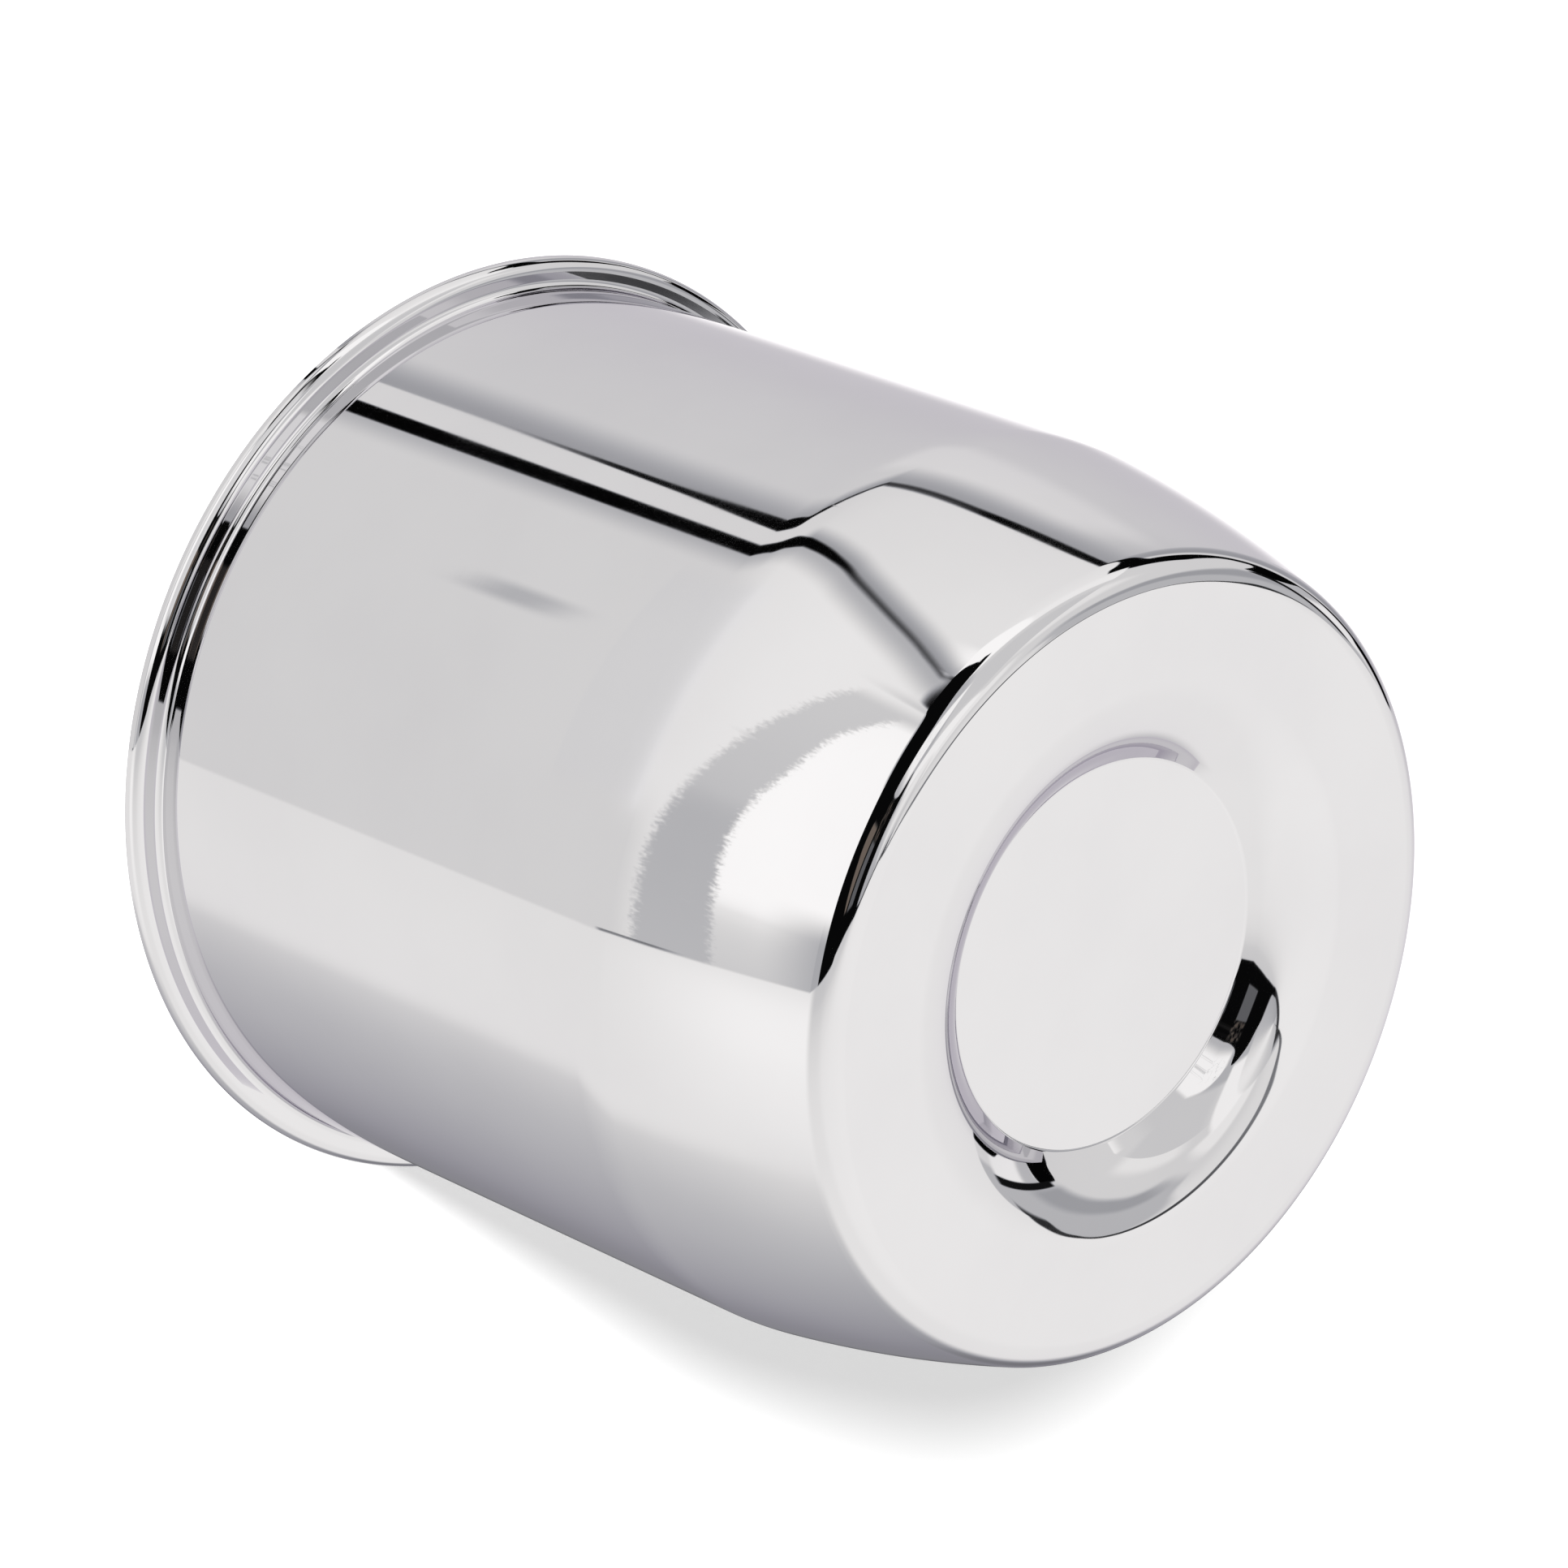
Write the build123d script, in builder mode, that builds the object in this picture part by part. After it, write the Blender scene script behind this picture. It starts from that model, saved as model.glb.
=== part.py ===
from build123d import *
from math import atan2, cos, degrees, radians, sin, tan
import os

# A push-through wheel centre cap: one cup drawn from sheet steel, then plated.
# It stands on its open end, on the foot of its lip, with the closed end up.
# All lengths are in millimetres, all angles in degrees, and the axis of the cup is Z.

# Sheet
wall = 1.0  # the same gauge all over

# Drawn body
body_diameter = 108.0  # outside of the straight wall, which fills the wheel's centre bore
overall_height = 110.0  # foot of the lip to the flat closed face
straight_height = 78.5  # foot of the lip to where the wall starts to close in
taper_entry_angle = 7.7  # lean of the wall just past that line
break_radius = 36.0  # soft bend between the straight wall and the taper

# Lip round the open end, flared out flat and then turned down
lip_overhang = 3.5  # how far it stands out past the body
lip_height = 2.2  # foot to the seat that meets the back of the wheel
lip_bend = 0.6  # inside radius of the turn-down
root_radius = 1.0  # hollow between the lip's seat and the body
edge_break = 0.2  # deburred corners of the cut edge

# Closed end
face_inset = 9.65  # from the line of the body in to the outer edge of the flat ring
shoulder_bend = 2.8  # inside radius of the shoulder round that ring

# Round dish pressed into the face
dish_floor_inset = 21.55  # from the outer edge of the flat ring in to the dish's flat floor
dish_depth = 5.0
dish_wall_angle = 45.0  # steepest slope of its wall, measured from the face
dish_rim_bend = 12.0  # inside radius of the long roll-over from the face into the dish
dish_corner_radius = 0.6  # hollow at the foot of its wall

# Sizes that follow from those above
body_radius = body_diameter / 2
lip_radius = body_radius + lip_overhang
face_radius = body_radius - face_inset
dish_floor_radius = face_radius - dish_floor_inset
lip_round = lip_bend + wall
shoulder_radius = shoulder_bend + wall
dish_rim_radius = dish_rim_bend + wall

# The bend at the break starts below the line where the straight wall and the taper would meet
bend_start = straight_height - break_radius * tan(radians(taper_entry_angle / 2))

# The taper is one long arc that leaves the bend tangentially and runs into the shoulder.
# Both conditions fix its radius: its centre lies on the normal at the end of the bend,
# at its own radius from there and at (radius - shoulder radius) from the shoulder's centre.
entry = radians(taper_entry_angle)
taper_start_r = body_radius - break_radius * (1 - cos(entry))
taper_start_z = bend_start + break_radius * sin(entry)
shoulder_r = face_radius
shoulder_z = overall_height - shoulder_radius
reach_r = taper_start_r - shoulder_r
reach_z = taper_start_z - shoulder_z
along_normal = reach_r * cos(entry) + reach_z * sin(entry)
taper_radius = (reach_r**2 + reach_z**2 - shoulder_radius**2) / (2 * (along_normal - shoulder_radius))
taper_center_r = taper_start_r - taper_radius * cos(entry)
taper_center_z = taper_start_z - taper_radius * sin(entry)
taper_end_angle = degrees(atan2(shoulder_z - taper_center_z, shoulder_r - taper_center_r))

# The dish, worked out from its floor up to the face
dish_slope = radians(dish_wall_angle)
dish_corner_rise = dish_corner_radius * (1 - cos(dish_slope))
dish_rim_drop = dish_rim_radius * (1 - cos(dish_slope))
dish_wall_rise = dish_depth - dish_corner_rise - dish_rim_drop
dish_wall_length = dish_wall_rise / sin(dish_slope)
dish_mouth_radius = (
    dish_floor_radius
    + (dish_corner_radius + dish_rim_radius) * sin(dish_slope)
    + dish_wall_length * cos(dish_slope)
)

# The section is the visible skin, drawn as one smooth line from the foot of the lip to the
# middle of the dish, and thickened inwards by the gauge of the sheet.
with BuildPart() as center_cap:
    with BuildSketch(Plane.XZ) as section:
        with BuildLine() as skin:
            lip_side = Line((lip_radius, 0), (lip_radius, lip_height - lip_round))
            lip_crest = JernArc(lip_side @ 1, lip_side % 1, lip_round, 90)
            lip_seat = Line(lip_crest @ 1, (body_radius + root_radius, lip_height))
            root = JernArc(lip_seat @ 1, lip_seat % 1, root_radius, -90)
            straight = Line(root @ 1, (body_radius, bend_start))
            bend = JernArc(straight @ 1, straight % 1, break_radius, taper_entry_angle)
            taper = JernArc(bend @ 1, bend % 1, taper_radius, taper_end_angle - taper_entry_angle)
            shoulder = JernArc(taper @ 1, taper % 1, shoulder_radius, 90 - taper_end_angle)
            face = Line(shoulder @ 1, (dish_mouth_radius, overall_height))
            dish_rim = JernArc(face @ 1, face % 1, dish_rim_radius, dish_wall_angle)
            dish_wall = PolarLine(dish_rim @ 1, dish_wall_length, direction=dish_rim % 1)
            dish_corner = JernArc(dish_wall @ 1, dish_wall % 1, dish_corner_radius, -dish_wall_angle)
            dish_floor = Line(dish_corner @ 1, (0, overall_height - dish_depth))
            offset(amount=wall, side=Side.LEFT)
        make_face()
        # the cut edge of the sheet is the lip's foot, and both its corners are eased
        fillet(section.vertices().group_by(Axis.Y)[0], edge_break)
    revolve(axis=Axis.Z)
center_cap.part.label = "center_cap"

os.makedirs("parts", exist_ok=True)
export_step(center_cap.part, "parts/center_cap.step")

print(f"taper radius {taper_radius:.1f}, lean at the shoulder {taper_end_angle:.1f} degrees")
print(f"dish mouth {2 * dish_mouth_radius:.1f}, flat ring {face_radius - dish_mouth_radius:.1f} wide")
print(f"volume {center_cap.part.volume / 1000:.1f} cm3, box {center_cap.part.bounding_box().size}")
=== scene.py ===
# %% [markdown]
# A push-through wheel centre cap: one cup drawn from sheet steel and plated with bright chrome.
# Chrome has hardly any look of its own, it shows what stands round it. So most of this lesson is
# about two things: a plate that mirrors cleanly, and a studio worth mirroring.
# The solid comes from the CAD model, in metres, standing on the foot of its lip at z = 0.

# %% Load the frame
import bpy
from math import atan2, cos, degrees, pi, radians, sin, tan
from mathutils import Matrix, Vector


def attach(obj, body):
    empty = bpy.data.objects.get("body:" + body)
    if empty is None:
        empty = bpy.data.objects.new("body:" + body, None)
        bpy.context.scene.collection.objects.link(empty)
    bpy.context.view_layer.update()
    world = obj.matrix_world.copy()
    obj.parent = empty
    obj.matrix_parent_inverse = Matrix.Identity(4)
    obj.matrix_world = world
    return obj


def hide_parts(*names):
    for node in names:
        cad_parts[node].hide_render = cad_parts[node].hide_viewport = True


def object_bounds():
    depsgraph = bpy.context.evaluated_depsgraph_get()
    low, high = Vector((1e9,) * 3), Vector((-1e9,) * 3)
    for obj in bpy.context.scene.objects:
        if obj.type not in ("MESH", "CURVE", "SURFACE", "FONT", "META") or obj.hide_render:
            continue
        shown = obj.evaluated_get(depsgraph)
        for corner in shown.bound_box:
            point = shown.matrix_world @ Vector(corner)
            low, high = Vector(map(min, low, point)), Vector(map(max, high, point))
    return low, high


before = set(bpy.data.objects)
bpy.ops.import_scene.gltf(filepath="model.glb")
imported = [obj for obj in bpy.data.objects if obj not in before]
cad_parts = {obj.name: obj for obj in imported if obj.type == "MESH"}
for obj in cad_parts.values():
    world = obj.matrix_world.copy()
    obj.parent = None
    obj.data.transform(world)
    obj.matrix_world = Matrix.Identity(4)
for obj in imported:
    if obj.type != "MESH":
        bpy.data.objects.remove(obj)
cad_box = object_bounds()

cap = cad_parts["center_cap"]
box_in_mm = [[round(c * 1000, 1) for c in corner] for corner in cad_box]
print("cap", len(cap.data.polygons), "faces, box in mm", box_in_mm)

# %% [markdown]
# Blender starts with a cube, a lamp and a camera. Only what the frame brought in is wanted, so the
# rest goes before anything is built.

# %% Clear the starting scene
for name in ("Cube", "Light", "Camera"):
    if name in bpy.data.objects:
        bpy.data.objects.remove(bpy.data.objects[name], do_unlink=True)
scene = bpy.context.scene
scene.view_settings.view_transform = "Standard"

# %% [markdown]
# A material is a small program drawn as boxes and wires. Written as arithmetic it is far easier to
# read, so one class wraps an output of a node, and each operator on it adds a Math node. The same
# class makes any other node from its type, its settings and what goes into its sockets.


# %% A value that changes over a surface
class Value:
    """One output of a node in a tree, which can be reckoned with like a number."""

    def __init__(self, tree, socket):
        self.tree, self.socket = tree, socket

    def node(self, kind, settings=(), inputs=(), output=0):
        """Add a node: settings first, then a number, a colour or a Value for each socket named."""
        made = self.tree.nodes.new(kind)
        for name, value in dict(settings).items():
            if name == "points":
                curve = made.mapping.curves[0]
                while len(curve.points) < len(value):
                    curve.points.new(0.5, 0.5)
                for point, place in zip(curve.points, value):
                    point.location, point.handle_type = place, "AUTO_CLAMPED"
                made.mapping.update()
            else:
                setattr(made, name, value)
        for key, value in dict(inputs).items():
            if isinstance(value, Value):
                self.tree.links.new(value.socket, made.inputs[key])
            else:
                made.inputs[key].default_value = value
        return Value(self.tree, made.outputs[output] if made.outputs else None)

    def out(self, name):
        """Another output of the same node."""
        return Value(self.tree, self.socket.node.outputs[name])

    def maths(self, operation, *values):
        """A Math node of any operation."""
        return self.node("ShaderNodeMath", {"operation": operation}, enumerate(values))

    def __add__(self, other):
        return self.maths("ADD", self, other)

    def __sub__(self, other):
        return self.maths("SUBTRACT", self, other)

    def __rsub__(self, other):
        return self.maths("SUBTRACT", other, self)

    def __mul__(self, other):
        return self.maths("MULTIPLY", self, other)

    def __truediv__(self, other):
        return self.maths("DIVIDE", self, other)

    def __abs__(self):
        return self.maths("ABSOLUTE", self)

    __radd__, __rmul__ = __add__, __mul__

    def rise(self, low, high, start=0.0, end=1.0):
        """A soft step: start below low, end above high."""
        return self.node("ShaderNodeMapRange", {"interpolation_type": "SMOOTHSTEP"},
                         {0: self, 1: low, 2: high, 3: start, 4: end})

    def past(self, edge, soft):
        """1 where the value is over an edge, which may be a Value too, with a soft border."""
        over = self - edge
        return over.rise(soft * -1, soft)

    def within(self, low, high, soft):
        """1 between two edges, with soft borders."""
        return self.past(low, soft) * (1 - self.past(high, soft))

    def paint(self, mask, level):
        """The value, replaced by a plain level or another Value where the mask is 1."""
        return self + (level - self) * mask

    # A Mix node keeps its colours in sockets 6 and 7 and its mixed colour in output 2
    def mix(self, first, second):
        """A colour from first to second as this value goes from 0 to 1."""
        return self.node("ShaderNodeMix", {"data_type": "RGBA"}, {0: self, 6: first, 7: second}, 2)

    def tinted(self, colour):
        """Light of this strength in a colour, which may be a Value too."""
        return self.node("ShaderNodeMix", {"data_type": "RGBA", "blend_type": "MULTIPLY"},
                         {0: 1.0, 6: colour, 7: self}, 2)


def fresh(tree):
    """An empty node tree to start from."""
    tree.nodes.clear()
    return Value(tree, None)


print("a Value can", [n for n in vars(Value) if not n.startswith("_")])

# %% [markdown]
# The camera of the picture looks down on the closed end at about 46 degrees to the cap's axis,
# from some 0.9 m, with a long lens, and rolled over because the real cap lay on its side.
# A camera is placed most exactly by its own three directions, worked out from the outline.

# %% Camera
camera_at = Vector((0.0, -0.62941, 0.64641))
picture_right = Vector((-0.36899, 0.63825, 0.67564))
picture_down = Vector((0.92942, 0.25779, 0.26405))
ahead = picture_right.cross(picture_down)
turn = Matrix((picture_right, -picture_down, -ahead)).transposed().to_4x4()
camera_data = bpy.data.cameras.new("camera")
camera_data.sensor_width = 36.0
camera_data.lens = 169.24
camera_data.clip_end = 50.0
camera = bpy.data.objects.new("camera", camera_data)
camera.matrix_world = Matrix.Translation(camera_at) @ turn
scene.collection.objects.link(camera)
scene.camera = camera
print("camera", round(camera_at.length, 3), "m away, looking along", [round(c, 3) for c in ahead])

# %% [markdown]
# The studio that the plate mirrors. The world is drawn as a dome round the cap: by compass
# direction (degrees round the axis, 0 along +X), by the same angle measured from behind (0 along
# -X) and by height (degrees over the lip's plane). In the picture a white sheet runs under one
# side of the cap and pale walls stand opposite. Dark gaps lie between them, and they draw the
# black lines that make chrome look like chrome. Softer lamps alone would leave it looking grey.

# %% Directions in the dome
world = bpy.data.worlds.new("studio")
scene.world = world
world.use_nodes = True
dome = fresh(world.node_tree)
way = dome.node("ShaderNodeTexCoord").out("Generated")
across = dome.node("ShaderNodeSeparateXYZ", (), {0: way})
east, north, height = across.out("X"), across.out("Y"), across.out("Z")
per_radian = degrees(1)  # Math nodes give angles in radians
compass = dome.maths("ARCTAN2", north, east) * per_radian
behind = dome.maths("ARCTAN2", north * -1, east * -1) * per_radian
level = dome.maths("ARCSINE", height) * per_radian
print("dome measured in degrees")

# %% [markdown]
# Most edges in the dome lean or bend, and most greys drift along them. Both are drawn with one
# helper: a smooth line through a few given places, each a pair of value and result.


# %% A line through given places
def course(value, places):
    """A smooth line through (value, result) places, held level past both ends."""
    low, high = places[0][0], places[-1][0]
    bottom, top = min(p[1] for p in places), max(p[1] for p in places)
    span = max(top - bottom, 1e-6)
    points = [((x - low) / (high - low), (y - bottom) / span) for x, y in places]
    share = value.node("ShaderNodeMapRange", (), {0: value, 1: low, 2: high, 3: 0.0, 4: 1.0})
    bent = value.node("ShaderNodeFloatCurve", {"points": points}, {0: 1.0, 1: share})
    return bent * span + bottom


print("a line needs 4 nodes")

# %% [markdown]
# The white sheet. It fills about half of the dome and is nearest to the cap, so it is darker where
# the cap shades it. How far a direction leans towards the middle of the sheet is east, north and
# height, each times that middle's own share. The sheet ends at a limit on this number and, to the
# right, at an edge given by compass. Two lines give its grey low down and at the height of the
# lip, and higher up a third takes over, with hardly any shade.

# %% White sheet
sheet_east, sheet_north, sheet_height = 0.8997, 0.428, 0.085
toward_sheet = east * sheet_east + north * sheet_north + height * sheet_height
sheet_limit = course(level, [(-50, 0.125), (44, 0.125), (49, 0.105), (60, 0.1), (69, 0.108),
                             (75, 0.119), (82, 0.13), (90, 0.13)])
right_edge = course(level, [(-50, 120), (-20, 113), (5, 110), (16, 113), (26, 113), (32, 111.5),
                            (37.5, 108), (43, 100), (46.5, 94.5), (57, 95), (66, 96), (74, 94.5),
                            (84, 93)])
sheet = toward_sheet.past(sheet_limit, 0.006) * (1 - compass.past(right_edge, 0.5))
low_shade = course(compass, [(-57, 219), (-15, 222), (-5, 201), (8, 186), (20, 178), (45, 160),
                             (62, 142), (75, 128), (84, 98), (90, 190), (97, 246), (106, 222),
                             (112, 208)])
mid_shade = course(compass, [(-57, 226), (-45, 238), (-33, 234), (-15, 226), (-5, 210), (5, 196),
                             (20, 177), (42, 153), (60, 121), (69, 139), (75, 172), (82, 203),
                             (92, 221), (103, 206), (112, 182)])
face_tone = course(compass, [(-72, 198), (-60, 198), (-50, 208), (-38, 220), (-20, 226), (40, 229),
                             (85, 230), (120, 224)])
sheet_tone = low_shade + (mid_shade - low_shade) * level.rise(-34, -14)
sheet_tone = sheet_tone.paint(level.rise(-10, 11), face_tone - (1 - level.rise(30, 48)) * 5)
print("sheet and its shade drawn")

# %% [markdown]
# Beyond the sheet stands a pale wall. It is brighter in a few patches and towards its far corner,
# dull in one part and darkest in a soft fold. The fold is what the dish shows as a grey arc.

# %% Pale wall
wall_tone = course(level, [(-50, 202), (-30, 203), (-24, 190), (-17, 160), (-8, 152), (-4, 205),
                           (8, 205), (90, 204)])
wall_tone = wall_tone.paint(behind.within(-28, -10, 4) * level.within(-40, -25, 2), 214)
corner_tone = course(level, [(-50, 248), (-36, 238), (-20, 236), (-9, 214), (0, 205), (14, 208),
                             (30, 219), (60, 212)])
wall_tone = wall_tone.paint(1 - behind.rise(-78, -62), corner_tone)
dull_edge = course(level, [(16, -74), (40, -84), (56, -66), (60, -60)])
dull_part = (1 - behind.rise(-54, -42)) * behind.past(dull_edge, 2) * level.within(15, 58, 2)
wall_tone = wall_tone.paint(dull_part, 177)
fold = behind - course(level, [(18, -52), (28, -51), (44, -52), (52, -54), (58, -48)])
wall_tone = wall_tone.paint(fold.within(-6, 6, 3) * level.within(23, 55, 3), 154)
wall_tone = wall_tone.paint(behind.within(-58, -30, 4) * level.within(63, 80, 2), 225)
wall_tone = wall_tone.paint(behind.within(-24, -4, 5) * level.within(34, 60, 4), 222)
print("pale wall drawn")

# %% [markdown]
# A black slot runs along the wall at the height of the lip. At one end it climbs in a step round a
# pale tongue, and that is the black zigzag in the dish.

# %% Slot in the wall
slot_top = course(behind, [(-74, 5), (-66, 7), (-63, 2.5), (-53, 2.5), (-51, 19), (-45, 19.5),
                           (-43.5, 10), (-42, 5.5), (-36, 5.8), (-33, 8), (-30, 11), (-26, 14),
                           (-16, 14), (-10, 12), (-3, 8)])
slot_foot = course(behind, [(-74, 1), (-69, -5), (-62, -4), (-55, -1), (-45, 0.5), (-22, 0)])
slot = level.past(slot_foot, 0.7) * (1 - level.past(slot_top, 0.8)) * behind.within(-72, -4, 1)
tongue_tone = course(behind, [(-67, 226), (-59, 229), (-56, 180), (-52, 178)])
wall_tone = wall_tone.paint(behind.within(-67, -52, 1) * level.within(3.5, 18, 1), tongue_tone)
step = behind.within(-67, -47, 0.8) * level.within(18.3, 22.6, 0.5)
wall_tone = wall_tone.paint(slot, 12).paint(step, 24)
print("slot drawn")

# %% [markdown]
# To the left of the sheet the studio is open: a pale floor, on it the grey arch of a far sheet, and
# brighter paper over the arch. The arch has a frayed edge, so a little noise is added to the
# height before it is measured.

# %% Open floor and its arch
floor_tone = course(level, [(-50, 203), (-42, 208), (-34, 217), (-28, 224), (-20, 228), (-10, 226)])
floor_tone = floor_tone.paint(behind.rise(88, 106) * (1 - level.rise(-30, -26)), 205)
fray = dome.node("ShaderNodeTexNoise", (), {"Vector": way, "Scale": 110.0, "Detail": 4.0}) - 0.5
frayed = level + fray * 2.4
arch_top = course(behind, [(50, -11), (57, -12.5), (62, -14.3), (67, -15.8), (77, -17.3),
                           (90, -19.6), (102, -20.3), (124, -20)])
arch_foot = course(behind, [(50, -15), (54, -17), (62, -19.5), (73, -22.4), (82, -24.3), (92, -26),
                            (104, -27.3), (124, -27.6)])
arch_tone = course(behind, [(50, 200), (70, 195), (86, 190), (96, 177), (124, 180)])
over_arch_tone = course(behind, [(50, 222), (60, 244), (106, 246), (112, 224), (118, 206),
                                 (124, 200)])
floor_tone = floor_tone.paint(frayed.past(arch_foot, 0.6) * behind.past(54, 2), arch_tone)
floor_tone = floor_tone.paint(frayed.past(arch_top, 0.5) * behind.past(57, 2), over_arch_tone)
print("floor and arch drawn")

# %% [markdown]
# Above the floor the room is dark. The grey sinks just before its foot, as it does beside the
# sheet. It has one dull window low down, and a grey pane with a warm glimmer beside it higher up.

# %% Dark room
room_foot = course(behind, [(34, 15), (37, -2), (39, -12.5), (50, -12), (53, -4), (56, 0), (64, 4),
                            (74, 8.5), (84, 11), (122, 12.5)])
over_foot = level - room_foot
floor_tone = floor_tone.paint(over_foot.rise(-7, -1) * behind.within(52, 72, 3), 160)
floor_tone = floor_tone.paint(behind.rise(104, 113) * level.rise(-16, -8), 166)
room = over_foot.past(0, 0.6)
window_foot = course(behind, [(76, 38), (84, 31), (92, 35), (100, 40), (108, 45), (124, 52)])
window_right = course(level, [(33, 90), (39, 100), (45, 106)])
window = level.past(window_foot, 1.0) * behind.within(80, window_right, 1.0)
window = window * (1 - level.past(48, 1))
pane = behind.within(83.5, 106.5, 0.8) * level.within(51.5, 62.3, 0.5)
glimmer = dome.node("ShaderNodeTexNoise", (), {"Vector": way, "Scale": 26.0, "Detail": 4.0})
glimmer = glimmer.rise(0.38, 0.62) * behind.within(69, 83, 1.5) * level.within(50.5, 62, 1.2)
room_tone = 16 + window * 78 + pane * 76 + glimmer * 58
open_tone = floor_tone + (room_tone - floor_tone) * room
print("dark room drawn")

# %% [markdown]
# Behind the cap a tall board stands between the dark room and the pale wall. It is brighter in two
# places, greyer towards the room, and the upper bright part has a few fine cracks.

# %% Tall board
board_tone = course(level, [(-50, 210), (-36, 210), (-30, 216), (-18, 221), (10, 226), (20, 232),
                            (25, 232), (29, 203), (90, 203)])
low_bright = course(level, [(-14, 32), (-6, 27), (0, 24), (10, 18), (22, 15)])
board_tone = board_tone.paint(behind.past(low_bright, 1.5) * level.within(-14, 27, 2), 244)
board_tone = board_tone.paint(level.within(34, 66, 3), 195)
board_tone = board_tone.paint(behind.rise(31, 38) * level.past(27, 2), 172)
high_bright = course(level, [(40, 31), (47, 33), (54, 36), (59, 42), (62, 50)])
board_tone = board_tone.paint(behind.past(high_bright, 1.5) * level.within(42, 62, 1.5), 238)
board_tone = board_tone.paint(behind.rise(57, 67) * level.within(44, 63, 1), 176)
crack = dome.node("ShaderNodeTexNoise", (), {"Vector": way, "Scale": 14.0, "Detail": 3.0}) - 0.5
crack = abs(crack).rise(0.0, 0.012, 0.5, 0.0) * behind.within(42, 58, 2) * level.within(44, 59, 2)
board_tone = board_tone.paint(crack, 150)
print("board drawn")

# %% [markdown]
# The board's two edges leave gaps, and low down these are the two black lines along the cap's
# body. The first gap is the one towards the open side. A mirrored gap is never a bare line: the
# board curls away beside it, so the grey sinks before the black comes. The black itself is laid
# on once all the pieces are together.

# %% Gap on the open side
gap_course = [(-50, 26.4), (-47, 26.2), (-43, 26.3), (-39, 26.2), (-35, 24.7), (-31, 24.8),
              (-28, 26.4), (-25, 29.7), (-21, 33.8), (-17, 37.6)]
from_gap = behind - course(level, gap_course + [(-13, 42)])
gap_half = course(level, [(-50, 2.3), (-45, 2.0), (-41, 1.8), (-37, 2.2), (-33, 1.8), (-29, 1.2),
                          (-26, 0.8), (-14, 0.6)])
shade_past_gap = (1 - from_gap.rise(1.5, 9)) * from_gap.past(0, 0.1)
open_tone = open_tone.paint(shade_past_gap * (1 - level.past(-12, 1)), 174)
shade_before_gap = from_gap.rise(-7, -0.5) * level.rise(-35, -31) * (1 - level.past(-12, 1))
board_tone = board_tone.paint(shade_before_gap, 148)
print("first gap drawn")

# %% [markdown]
# The gap towards the wall wanders more and widens as it rises. Halfway down it isn't fully black,
# because a little light comes through it there.

# %% Gap on the side of the wall
other_gap = course(level, [(-46, 16.3), (-43, 16.6), (-40, 16.6), (-38, 12.5), (-35, 4), (-33, -1),
                           (-31, -3.2), (-27, -4.9), (-25, -5.9), (-22, -8), (-19, -11.5),
                           (-15, -13.5), (-3, -12.5), (6, -12)])
other_half = course(level, [(-46, 0.5), (-45, 1.0), (-43, 2.6), (-39, 2.0), (-36, 1.3), (-33, 1.1),
                            (-29, 1.1), (-25, 1.5), (-15, 2.0), (-6, 3.2), (3, 6)])
from_other = behind - other_gap
wall_tone = wall_tone.paint(from_other.rise(-13, -1) * (1 - level.past(-19, 2)), 156)
back_tone = wall_tone + (board_tone - wall_tone) * from_other.past(0, 0.4)
other_soft = course(level, [(-46, 0.3), (-38, 0.5), (-33, 0.8), (-29, 0.7), (-26, 0.5)])
other_depth = course(level, [(-50, 1.0), (-39, 1.0), (-36, 0.8), (-33, 0.72), (-29.5, 0.75),
                             (-27, 1.0)])
other_line = (1 - abs(from_other).past(other_half, other_soft)) * level.within(-46, 10, 0.7)
back_tone = back_tone.paint(other_line * other_depth, 14)
print("second gap drawn")

# %% [markdown]
# The pieces are laid over each other. One line divides the board from the open side: low down it
# follows the gap, and higher up it is the outline of the dark room. A small smudge low on the
# open side is the faint grey stroke in the middle of the body.

# %% Lay the dome together
low_divide = course(level, gap_course + [(-13, 41), (-10, 39.5), (-3, 37.5), (3, 36.5), (9, 35),
                                         (15, 32), (20, 29.5)])
upper_divide = course(level, [(20, 29.5), (24, 34), (28, 41), (34, 46), (40, 51), (44, 58),
                              (48, 69), (61, 65), (64, 60.5), (66, 49.5), (68, 50.5), (71, 56),
                              (73, 62), (75, 77), (80, 115)])
divide = low_divide + (upper_divide - low_divide) * level.past(20, 0.2)
tone = back_tone + (open_tone - back_tone) * behind.past(divide, 0.4)
gap_soft = course(level, [(-50, 0.4), (-30, 0.5), (-24, 0.9), (-14, 0.9)])
gap_dark = course(level, [(-50, 12), (-28, 14), (-25, 60), (-20, 66), (-14, 80)])
gap_line = (1 - abs(from_gap).past(gap_half, gap_soft)) * (1 - level.past(-12.5, 0.8))
tone = tone.paint(gap_line, gap_dark)
smudge = behind.within(57.6, 62.4, 1.6) * (level + behind * 0.05).within(-43.25, -42.65, 0.25)
tone = tone.paint(smudge * 0.8, 165)
print("walls, board and room laid together")

# %% [markdown]
# High up the walls end under a bright strip, and the ceiling over it is even. A thin black line
# parts them from the white sheet, which is laid on last, and a hairline marks its lower edge.

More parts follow.
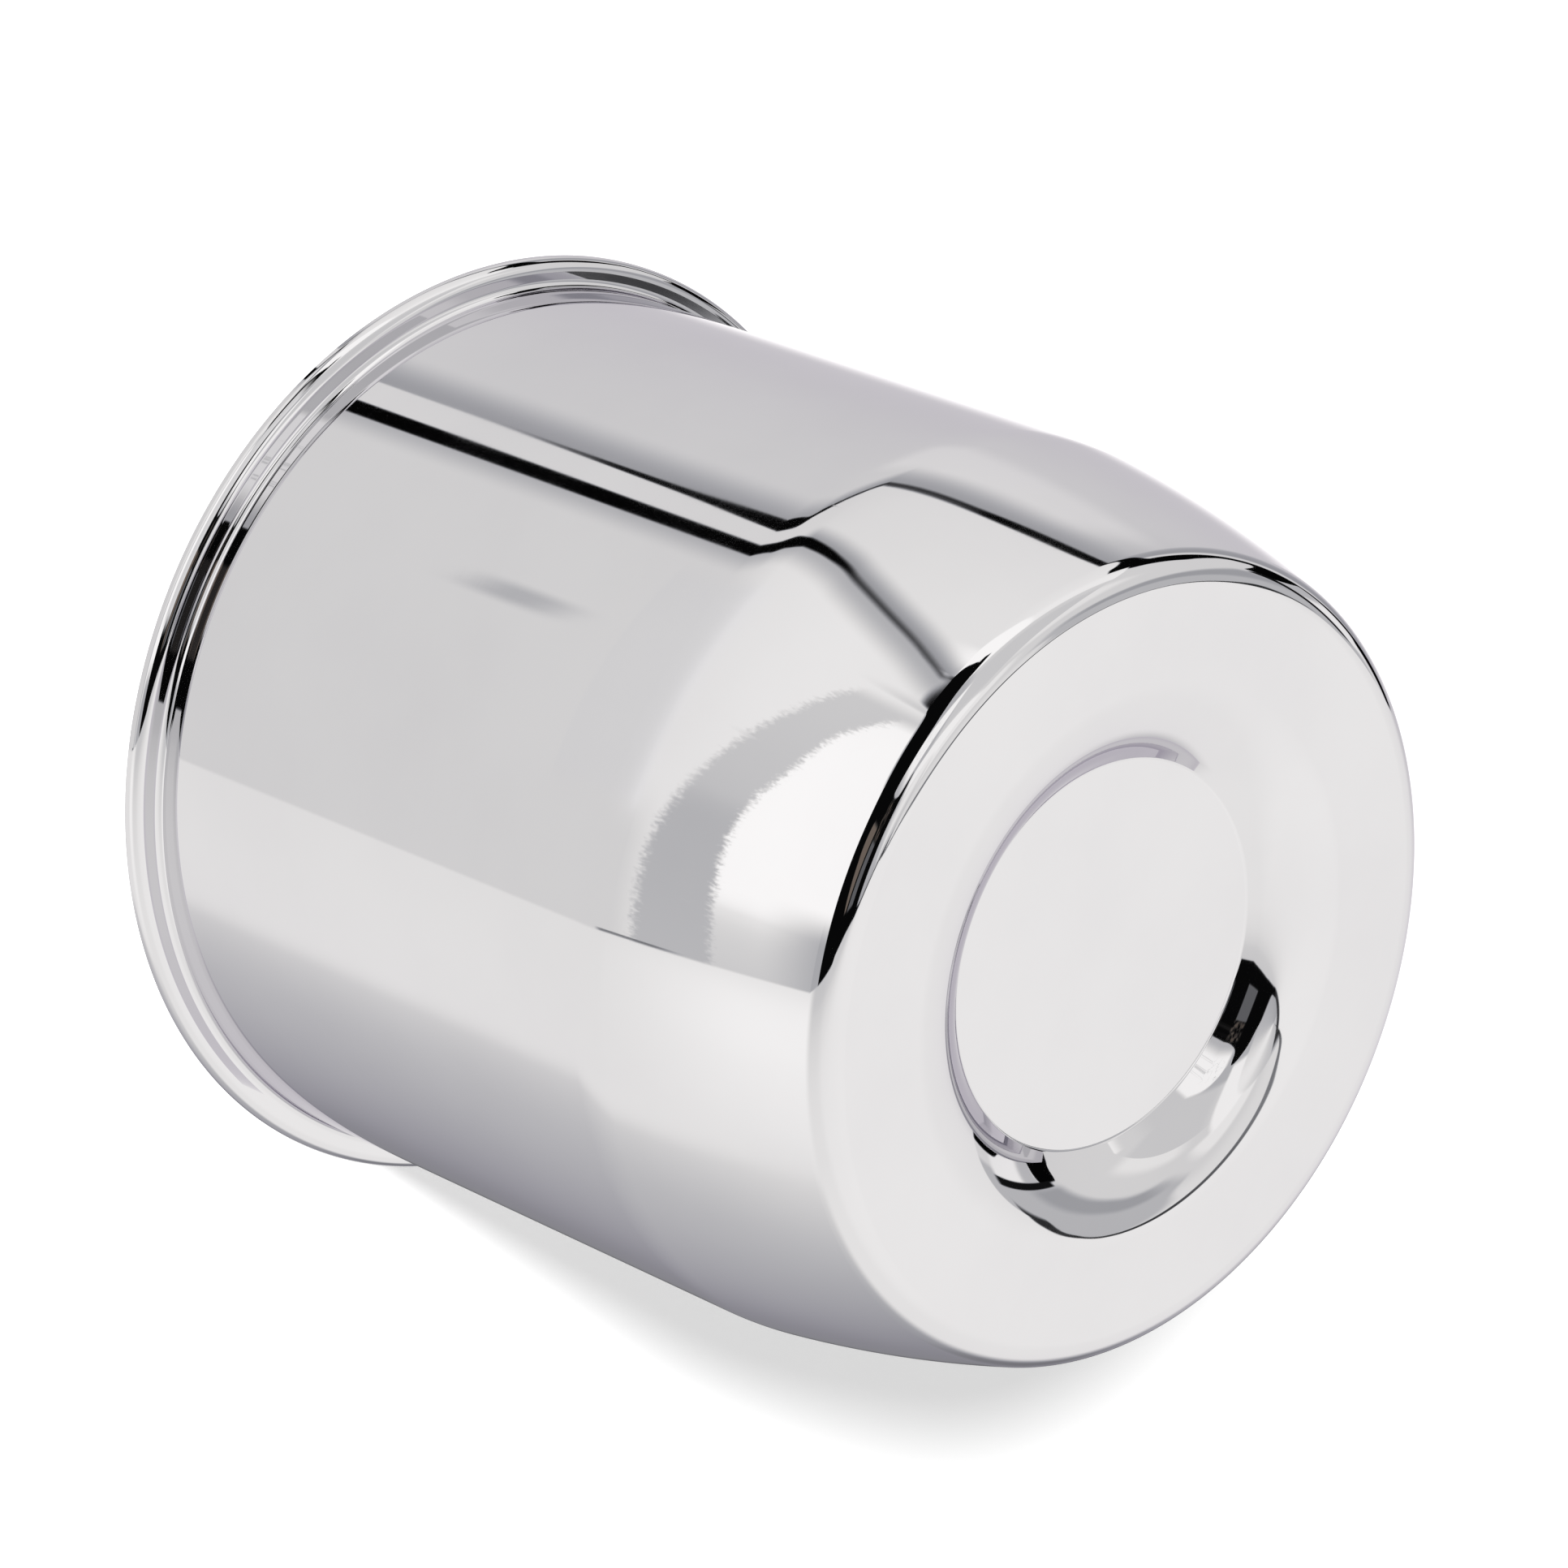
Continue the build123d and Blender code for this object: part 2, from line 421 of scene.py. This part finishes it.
# %% Ceiling and edges of the sheet
tone = tone.paint(level.within(68, 80, 1) * behind.within(-34, 49, 4), 234)
ceiling_tone = course(behind, [(-90, 184), (-70, 190), (-45, 206), (0, 226), (36, 216), (56, 200),
                               (80, 180), (125, 163)])
ceiling_foot = course(behind, [(-90, 76.4), (110, 76.4), (115, 76.6), (121, 79.2), (126, 81.5)])
tone = tone.paint(level.past(ceiling_foot, 0.7), ceiling_tone)
tone = tone.paint(toward_sheet.past(0.112, 0.004) * level.past(79, 2), 50)
line_width = course(level, [(14, 4.2), (36, 4.2), (44, 2.6), (84, 2.4)])
line_depth = course(level, [(10, 0), (19, 0.95), (42, 0.95), (50, 0.7), (58, 0.55), (70, 0.6),
                            (84, 0.7)])
side_line = (compass - right_edge).within(-0.4, line_width, 0.4) * toward_sheet.past(0.1, 0.02)
tone = tone.paint(side_line * line_depth, 40)
hairline = toward_sheet.within(0.116, 0.125, 0.0015) * level.within(-35, -24, 2)
tone = tone.paint(hairline * behind.past(100, 3) * 0.75, 90)
tone = tone.paint(sheet, sheet_tone)
print("dome complete")

# %% [markdown]
# The greys so far are as the eye reads them on a screen, 0 to 255. Light itself is not in
# proportion to those numbers, and the plate returns less than it is given, so the tone is turned
# into light with a power and divided by what the plate returns. The darker greys are a touch cool,
# the pale ones a touch warm, and the window and its glimmer are warm too.

# %% From greys to light
white_tone, screen_power, plate_reflectance = 255, 2.2, 0.73
light = dome.maths("POWER", tone / white_tone, screen_power) / plate_reflectance
tint = tone.rise(140, 222).mix((0.980, 0.985, 1.032, 1.0), (1.014, 1.0, 0.982, 1.0))
warm = (window + glimmer) * room * (1 - sheet)
tint = warm.mix(tint, (1.25, 1.0, 0.82, 1.0))
studio = light.tinted(tint)
print("dome turned into light")

# %% [markdown]
# Only mirrored rays see the dome. The camera sees plain white, and so would glass. Everything else
# gets an even fill, so the floor and the shadow on it stay neutral.

# %% Three kinds of ray
rays = dome.node("ShaderNodeLightPath")
mirrored = dome.node("ShaderNodeBackground", (), {"Color": studio})
fill_light = 0.42
even = dome.node("ShaderNodeBackground", (), {"Color": (fill_light, fill_light, fill_light, 1.0)})
white = dome.node("ShaderNodeBackground", (), {"Color": (1.0, 1.0, 1.0, 1.0)})
met = dome.node("ShaderNodeMixShader", (), {0: rays.out("Is Glossy Ray"), 1: even, 2: mirrored})
seen_straight = rays.out("Is Camera Ray") + rays.out("Is Transmission Ray")
met = dome.node("ShaderNodeMixShader", (), {0: seen_straight, 1: met, 2: white})
dome.node("ShaderNodeOutputWorld", (), {0: met})
world.cycles.sampling_method = "NONE"
print("dome made of", len(world.node_tree.nodes), "nodes")

# %% [markdown]
# The floor is a wide plain sheet that the cap stands on. It is white by its colour, with a little
# of its own light towards the camera so that only the shadow stays darker than white. Mirrored
# rays pass it by, because the dome already holds everything that the plate should show.

# %% Floor
floor_size = 12.0
half = floor_size / 2
floor_corners = [(-half, -half, 0), (half, -half, 0), (half, half, 0), (-half, half, 0)]
floor_mesh = bpy.data.meshes.new("floor")
floor_mesh.from_pydata(floor_corners, [], [(0, 1, 2, 3)])
floor = bpy.data.objects.new("floor", floor_mesh)
scene.collection.objects.link(floor)
floor.visible_glossy = False
print("floor", floor_size, "m wide")

# %% [markdown]
# The floor's paper is matt, with a fibre that is too faint to see but keeps it from being a dead
# flat colour. What it adds of its own light is for the camera only, so it doesn't light the cap.

# %% Paper of the floor
floor_glow = 0.32
paper = bpy.data.materials.new("paper_floor")
paper.use_nodes = True
sheet_tree = fresh(paper.node_tree)
fibre = sheet_tree.node("ShaderNodeTexNoise", (), {"Scale": 60.0, "Detail": 4.0})
pale = fibre.mix((0.86, 0.86, 0.86, 1.0), (0.9, 0.9, 0.9, 1.0))
matt = sheet_tree.node("ShaderNodeBsdfPrincipled", (),
                       {"Base Color": pale, "Roughness": 1.0, "Specular IOR Level": 0.0})
own_light = sheet_tree.node("ShaderNodeEmission", (),
                            {"Color": (1.0, 1.0, 1.0, 1.0), "Strength": floor_glow})
to_camera = sheet_tree.node("ShaderNodeLightPath").out("Is Camera Ray")
dark = sheet_tree.node("ShaderNodeEmission", (), {"Strength": 0.0})
lift = sheet_tree.node("ShaderNodeMixShader", (), {0: to_camera, 1: dark, 2: own_light})
both = sheet_tree.node("ShaderNodeAddShader", (), {0: matt, 1: lift})
sheet_tree.node("ShaderNodeOutputMaterial", (), {0: both})
floor_mesh.materials.append(paper)
print("paper", paper.name, "on", floor.name)

# %% [markdown]
# The lip lies low, and in the picture it mirrors something pale that the shoulder, 100 mm higher,
# looks over. A dome can't do that, because it shows the same to both. So a low curved card that
# glows with its own light, a painted reflection, stands six centimetres outside the lip, where only
# mirrored rays meet it.

# %% Low card beside the lip
card_radius, card_height = 0.120, 0.048
card_first, card_last, card_steps = 47, 99, 36
card_places = []
for k in range(card_steps + 1):
    a = radians(180 + card_first + (card_last - card_first) * k / card_steps)
    card_places += [(card_radius * cos(a), card_radius * sin(a), z) for z in (0.0, card_height)]
card_faces = [(2 * k, 2 * k + 1, 2 * k + 3, 2 * k + 2) for k in range(card_steps)]
card_mesh = bpy.data.meshes.new("low_card")
card_mesh.from_pydata(card_places, [], card_faces)
card = bpy.data.objects.new("low_card", card_mesh)
scene.collection.objects.link(card)
card.visible_camera = card.visible_diffuse = False
card.visible_shadow = card.visible_transmission = False
print("card", round(card_height * 1000), "mm high")

# %% [markdown]
# The body mirrors the card as well, against the studio's floor. The card glows with its own light,
# a painted reflection in that floor's grey at each height, and fades out at its ends and its top,
# so that no outline of it shows there.

# %% Glow of the card
card_glow = bpy.data.materials.new("card_glow")
card_glow.use_nodes = True
card_tree = fresh(card_glow.node_tree)
card_place = card_tree.node("ShaderNodeTexCoord").out("Object")
card_spot = card_tree.node("ShaderNodeSeparateXYZ", (), {0: card_place})
card_level = card_spot.out("Z") * 1000
card_way = card_tree.maths("ARCTAN2", card_spot.out("Y") * -1, card_spot.out("X") * -1) * per_radian
card_tone = course(card_level, [(0, 205), (14, 207), (26, 209), (34, 214), (41, 222), (48, 226)])
card_light = card_tree.maths("POWER", card_tone / white_tone, screen_power) / plate_reflectance
card_colour = card_light.tinted((1.0, 0.99, 0.985, 1.0))
# The card's colour is its own light, a painted reflection that only mirrored rays meet.
glow = card_tree.node("ShaderNodeEmission", (), {"Color": card_colour})
clear = card_tree.node("ShaderNodeBsdfTransparent")
solid = (1 - card_level.rise(38, 48)) * card_way.within(card_first + 3, card_last - 3, 2.5)
faded = card_tree.node("ShaderNodeMixShader", (), {0: solid, 1: clear, 2: glow})
card_tree.node("ShaderNodeOutputMaterial", (), {0: faded})
card_mesh.materials.append(card_glow)
print("card spans", card_last - card_first, "degrees")

# %% [markdown]
# One soft lamp hangs behind the camera and a little to its side, and throws a soft shadow on the
# floor beyond the cap. The plate must not show it as a hot spot, so mirrored rays don't see it.

# %% Lamp
lamp_at, lamp_aim = Vector((-0.125, -0.77, 0.795)), Vector((0, 0, 0.04))
lamp_data = bpy.data.lights.new("key", "AREA")
lamp_data.shape, lamp_data.size, lamp_data.energy = "DISK", 0.15, 19.5
lamp = bpy.data.objects.new("key", lamp_data)
lamp.location = lamp_at
lamp.rotation_euler = (lamp_aim - lamp_at).to_track_quat("-Z", "Y").to_euler()
lamp.visible_glossy = False
scene.collection.objects.link(lamp)
print("lamp", round(lamp_at.length, 2), "m from the cap")

# %% [markdown]
# A mirror shows every facet. The CAD mesh has the right shape, but its triangles bend the
# reflections in the dish, so the same section is turned again, finely and with exact normals.
# Its sizes are those of the part's source, in millimetres. The long taper is one arc that has to
# leave the bend and meet the shoulder without a kink, and both together give its radius.

# %% Sizes of the section
wall, edge_break = 1.0, 0.2
body_radius, straight_height, overall_height = 54.0, 78.5, 110.0
lip_radius, lip_height, lip_round, root_radius = 57.5, 2.2, 1.6, 1.0
entry, bend_radius, shoulder_radius, face_radius = radians(7.7), 36.0, 3.8, 44.35
dish_floor_radius, dish_depth, dish_rim, dish_corner, slope = 22.8, 5.0, 13.0, 0.6, radians(45)
bend_start = straight_height - bend_radius * tan(entry / 2)
start_r = body_radius - bend_radius * (1 - cos(entry))
start_z = bend_start + bend_radius * sin(entry)
reach_r, reach_z = start_r - face_radius, start_z - (overall_height - shoulder_radius)
along = reach_r * cos(entry) + reach_z * sin(entry)
taper_radius = (reach_r**2 + reach_z**2 - shoulder_radius**2) / (2 * (along - shoulder_radius))
lean = atan2(taper_radius * sin(entry) - reach_z, taper_radius * cos(entry) - reach_r)
dish_wall = (dish_depth - (dish_corner + dish_rim) * (1 - cos(slope))) / sin(slope)
mouth = dish_floor_radius + (dish_corner + dish_rim) * sin(slope) + dish_wall * cos(slope)
print("taper radius", round(taper_radius, 1), "mm, lean", round(degrees(lean), 2), "degrees")

# %% [markdown]
# A pen walks along the outside of the section, straight or on an arc, and notes where it is and
# which way is out. The directions it notes become the normals, so they are exact on every arc.

# %% Walk along the section
skin = []


def walk(pen, length=0.0, radius=0.0, angle=0.0, steps=1):
    """Move the pen (r, z, heading) on a straight line or an arc, noting each step."""
    r, z, heading = pen
    for k in range(1, steps + 1):
        if radius:
            side = radius if angle > 0 else -radius
            now = heading + angle * k / steps
            at = (r + side * (sin(now) - sin(heading)), z - side * (cos(now) - cos(heading)), now)
        else:
            gone = length * k / steps
            at = (r + cos(heading) * gone, z + sin(heading) * gone, heading)
        skin.append((at[0], at[1], at[2] - pi / 2))
    return at


pen = (lip_radius, edge_break, pi / 2)
skin.append((lip_radius, edge_break, 0.0))
pen = walk(pen, length=lip_height - lip_round - edge_break, steps=2)
pen = walk(pen, radius=lip_round, angle=pi / 2, steps=20)
pen = walk(pen, length=lip_radius - lip_round - body_radius - root_radius, steps=2)
pen = walk(pen, radius=root_radius, angle=-pi / 2, steps=14)
pen = walk(pen, length=bend_start - lip_height - root_radius, steps=10)
pen = walk(pen, radius=bend_radius, angle=entry, steps=8)
pen = walk(pen, radius=taper_radius, angle=lean - entry, steps=14)
pen = walk(pen, radius=shoulder_radius, angle=pi / 2 - lean, steps=28)
pen = walk(pen, length=face_radius - mouth, steps=4)
pen = walk(pen, radius=dish_rim, angle=slope, steps=30)
pen = walk(pen, length=dish_wall, steps=2)
pen = walk(pen, radius=dish_corner, angle=-slope, steps=8)
pen = walk(pen, length=dish_floor_radius, steps=4)
print("section of", len(skin), "places, the last at", [round(c, 3) for c in pen[:2]])

# %% [markdown]
# The inside of the sheet lies one gauge behind the outside. The two skins meet at the foot of the
# lip, whose two corners are eased. Both ends of the line are set exactly on the axis.

# %% Close the section
outer_corner, inner_corner = lip_radius - edge_break, lip_radius - wall + edge_break
foot = [(outer_corner + edge_break * cos(a), edge_break + edge_break * sin(a), a)
        for a in (-pi / 6, -pi / 3, -pi / 2)]
foot += [(inner_corner + edge_break * cos(a), edge_break + edge_break * sin(a), a)
         for a in (-pi / 2, -2 * pi / 3, -5 * pi / 6, -pi)]
inside_skin = [(r - wall * cos(n), z - wall * sin(n), n + pi) for r, z, n in skin[1::2]]
section = skin[::-1] + foot + inside_skin
for end in (0, -1):
    section[end] = (0.0,) + section[end][1:]
print("closed section of", len(section), "places")

# %% [markdown]
# The line is turned about the axis. Each place becomes a ring of corners, four-sided faces join
# neighbouring rings, and a fan of triangles closes each end, where a ring would shrink to a point.

# %% Turn the section
turns = 384
places, normals = [], []
for r, z, n in section[1:-1]:
    for k in range(turns):
        a = 2 * pi * k / turns
        places.append((r * cos(a) / 1000, r * sin(a) / 1000, z / 1000))
        normals.append((cos(n) * cos(a), cos(n) * sin(a), sin(n)))
following = [(k + 1) % turns for k in range(turns)]
faces = []
for ring in range(0, len(places) - turns, turns):
    beyond = ring + turns
    faces += [(ring + k, beyond + k, beyond + following[k], ring + following[k])
              for k in range(turns)]
last_ring, top, bottom = len(places) - turns, len(places), len(places) + 1
faces += [(k, following[k], top) for k in range(turns)]
faces += [(last_ring + following[k], last_ring + k, bottom) for k in range(turns)]
places += [(0.0, 0.0, section[end][1] / 1000) for end in (0, -1)]
normals += [(0.0, 0.0, 1.0), (0.0, 0.0, -1.0)]
print("turned into", len(faces), "faces")

# %% [markdown]
# The frame's plain cap steps aside for this shell, which is the same cap with a finer skin. The
# directions noted by the pen are handed over as custom normals, so light sees no facet.

# %% Shell of the cap
shell_mesh = bpy.data.meshes.new("cap_shell")
shell_mesh.from_pydata(places, [], faces)
shell_mesh.shade_smooth()
shell_mesh.normals_split_custom_set_from_vertices(normals)
shell = bpy.data.objects.new("cap_shell", shell_mesh)
scene.collection.objects.link(shell)
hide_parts("center_cap")
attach(shell, "root")
print("shell", round(2000 * max(place[0] for place in places), 2), "mm across")

# %% [markdown]
# Bright chrome plate. Under it the sheet was drawn and buffed, so up close the mirror is not
# perfect: very fine rings from buffing on the lathe, a faint haze that comes and goes, a slow
# waviness left by the press, and a few hairlines from handling. The inside of the cup was never
# buffed and takes little plate, so it is duller. The true normal tells the two sides apart: on
# the outside it always points outwards or up.

# %% Chrome plate
plate = bpy.data.materials.new("chrome_plate")
plate.use_nodes = True
p = fresh(plate.node_tree)
spot = p.node("ShaderNodeTexCoord").out("Object")
parts = p.node("ShaderNodeSeparateXYZ", (), {0: spot})
x, y, z = parts.out("X"), parts.out("Y"), parts.out("Z")
from_axis = p.maths("SQRT", x * x + y * y)
true_normal = p.node("ShaderNodeNewGeometry").out("True Normal")
facing = p.node("ShaderNodeSeparateXYZ", (), {0: true_normal})
outwards = (facing.out("X") * x + facing.out("Y") * y) / from_axis + facing.out("Z") * 1.2
inside = 1 - outwards.rise(-0.12, -0.04)
print("plate measured from its axis")

# %% [markdown]
# Buffing rings run round the axis, so their pattern depends only on the distance from the axis
# and the height, stretched very long the other way. A noise that is fed those two numbers, with
# just a little of the place round the axis, gives rings that start and stop.

# %% Buffing, haze and hairlines
ring_scale = 2600
ring_place = p.node("ShaderNodeCombineXYZ", (),
                    {0: from_axis * ring_scale, 1: z * ring_scale, 2: x * 6 + y * 5})
rings = p.node("ShaderNodeTexNoise", (),
               {"Vector": ring_place, "Scale": 1.0, "Detail": 2.0, "Roughness": 0.6})
haze = p.node("ShaderNodeTexNoise", (),
              {"Vector": spot, "Scale": 38.0, "Detail": 5.0, "Roughness": 0.55})
grain = p.node("ShaderNodeTexNoise", (),
               {"Vector": spot, "Scale": 900.0, "Detail": 3.0, "Roughness": 0.6})
wave = p.node("ShaderNodeTexNoise", (),
              {"Vector": spot, "Scale": 22.0, "Detail": 1.0, "Roughness": 0.4})
scratch_place = p.node("ShaderNodeMapping", {"vector_type": "POINT"},
                       {"Vector": spot, "Rotation": (0.4, 0.9, 0.3), "Scale": (900, 30, 60)})
scratches = p.node("ShaderNodeTexNoise", (),
                   {"Vector": scratch_place, "Scale": 1.0, "Detail": 2.0}).rise(0.72, 0.78)
print("five patterns laid on the plate")

# %% [markdown]
# The patterns work mostly through roughness, which is what blurs a mirror. Colour and relief move
# very little: a plate with a strong bump would look hammered. At a grazing look real chrome
# mirrors more, and the tint given to that part keeps it from turning into plain white.

# %% Mirror and its faults
roughness = 0.022 + haze.rise(0.45, 0.75) * 0.025 + rings.rise(0.5, 0.8) * 0.012 + scratches * 0.06
roughness = inside * (0.34 + grain * 0.1) + (1 - inside) * roughness
bright = haze.rise(0.3, 0.8).mix((0.740, 0.738, 0.752, 1.0), (0.715, 0.712, 0.728, 1.0))
dull = haze.rise(0.3, 0.7).mix((0.50, 0.49, 0.475, 1.0), (0.40, 0.39, 0.375, 1.0))
colour = inside.mix(bright, dull)
relief = wave * 0.35 + rings * 0.0008 + inside * grain * 0.05 - scratches * 0.002
bumped = p.node("ShaderNodeBump", (), {"Strength": 0.25, "Distance": 0.0004, "Height": relief})
metal = p.node("ShaderNodeBsdfPrincipled", (),
               {"Base Color": colour, "Metallic": 1.0, "Roughness": roughness, "Normal": bumped,
                "Specular Tint": (0.80, 0.78, 0.83, 1.0)})
p.node("ShaderNodeOutputMaterial", (), {0: metal})
shell_mesh.materials.append(plate)
print("plate on", shell.name, "with", len(plate.node_tree.nodes), "nodes")

# %% [markdown]
